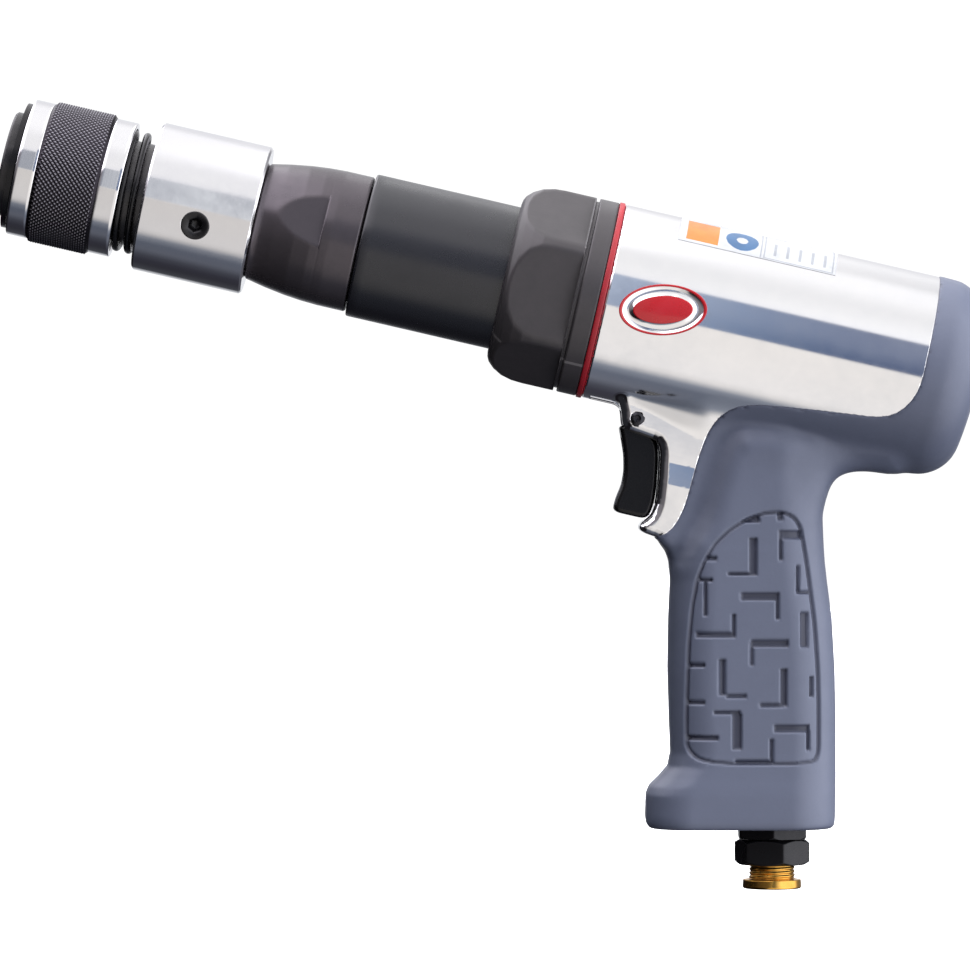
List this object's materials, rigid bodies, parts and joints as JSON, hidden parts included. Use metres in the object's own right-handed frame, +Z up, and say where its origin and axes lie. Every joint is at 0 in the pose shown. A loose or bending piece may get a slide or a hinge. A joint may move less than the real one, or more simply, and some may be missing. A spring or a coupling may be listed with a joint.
{
  "type": "air hammer",
  "caption": "Long-barrel pneumatic air hammer with a raked pistol grip, trigger throttle, free piston and a sliding quick-change chisel retainer.",
  "frame": {"origin": "centre of the tool socket's mouth, on the barrel's front face", "axes": "+X along the barrel axis from the muzzle to the rear cap, +Z up, the handle hangs down; Y is sideways"},
  "size_m": [0.2842, 0.0571, 0.183],
  "materials": {
    "black_steel": "blackened, satin",
    "ball_steel": "polished bearing steel",
    "sleeve_chrome": "bright chrome",
    "knurl_black": "blackened diamond knurl",
    "spring_steel": "black oxide, oiled",
    "collar_steel": "finely turned and polished",
    "barrel_steel": "dark phosphate, semi-gloss",
    "piston_steel": "ground",
    "tube_black": "smooth black, semi-gloss",
    "nut_black": "satin dark grey",
    "gasket_red": "red, smooth",
    "seal_rubber": "black",
    "housing_aluminium": "polished",
    "valve_steel": "ground",
    "grip_rubber": "slate blue-grey, satin",
    "trigger_plastic": "gloss black",
    "pin_steel": "dark steel",
    "guide_brass": "turned",
    "seat_nylon": "natural nylon",
    "screen_steel": "perforated stainless",
    "nipple_brass": "machined",
    "badge_red": "red enamel, no lettering",
    "label_film": "blank printed film"
  },
  "bodies": {
    "frame": {"retainer_body": "black_steel", "nose_snap_ring": "spring_steel", "sleeve_spring": "spring_steel", "lock_collar": "collar_steel", "collar_set_screw": "black_steel", "barrel": "barrel_steel", "barrel_o_ring": "seal_rubber", "barrel_sleeve": "tube_black", "barrel_nut": "nut_black", "nut_gasket": "gasket_red", "valve_seat": "valve_steel", "valve_cap": "valve_steel", "valve_dowel": "piston_steel", "valve_damper": "seal_rubber", "housing": "housing_aluminium", "grip_overmould": "grip_rubber", "trigger_pin": "pin_steel", "throttle_guide": "guide_brass", "guide_o_ring": "seal_rubber", "throttle_seat": "seat_nylon", "throttle_spring": "spring_steel", "inlet_screen": "screen_steel", "inlet_bushing": "black_steel", "inlet_adapter": "black_steel", "hose_nipple": "nipple_brass", "side_badge": "badge_red", "top_label": "label_film"},
    "sleeve": {"retainer_sleeve": "sleeve_chrome", "sleeve_grip_ring": "knurl_black"},
    "ball_1": {"retainer_ball_1": "ball_steel"},
    "ball_2": {"retainer_ball_2": "ball_steel"},
    "ball_3": {"retainer_ball_3": "ball_steel"},
    "piston": {"piston": "piston_steel"},
    "valve_plate": {"valve_plate": "valve_steel"},
    "trigger": {"trigger": "trigger_plastic"},
    "throttle": {"throttle_stem": "piston_steel"}
  },
  "joints": [
    {"name": "sleeve_slide", "type": "slide", "parent": "frame", "child": "sleeve", "axis": [1, 0, 0], "range_m": [0, 0.0045], "stiffness_N_per_m": 1200, "springref_m": -0.005, "deforming": ["sleeve_spring"]},
    {"name": "ball_1_out", "type": "slide", "parent": "frame", "child": "ball_1", "axis": [0, 0, 1], "range_m": [0, 0.0011]},
    {"name": "ball_2_out", "type": "slide", "parent": "frame", "child": "ball_2", "axis": [0, -0.866, -0.5], "range_m": [0, 0.0011]},
    {"name": "ball_3_out", "type": "slide", "parent": "frame", "child": "ball_3", "axis": [0, 0.866, -0.5], "range_m": [0, 0.0011]},
    {"name": "piston_stroke", "type": "slide", "parent": "frame", "child": "piston", "axis": [-1, 0, 0], "range_m": [0, 0.085]},
    {"name": "valve_shuttle", "type": "slide", "parent": "frame", "child": "valve_plate", "axis": [1, 0, 0], "range_m": [0, 0.0012]},
    {"name": "trigger_pull", "type": "hinge", "parent": "frame", "child": "trigger", "pos_m": [0.1512, 0, -0.0308], "axis": [0, -1, 0], "range_deg": [0, 8], "stiffness_Nm_per_rad": 0.8, "springref_deg": -8.59},
    {"name": "throttle_lift", "type": "slide", "parent": "frame", "child": "throttle", "axis": [0.9744, 0, 0.225], "range_m": [0, 0.0027], "deforming": ["throttle_spring"]}
  ],
  "couplings": [
    {"joint": "ball_1_out", "follows": "sleeve_slide", "ratio": 0.24444},
    {"joint": "ball_2_out", "follows": "sleeve_slide", "ratio": 0.24444},
    {"joint": "ball_3_out", "follows": "sleeve_slide", "ratio": 0.24444},
    {"joint": "throttle_lift", "follows": "trigger_pull", "m_per_rad": 0.0185}
  ]
}
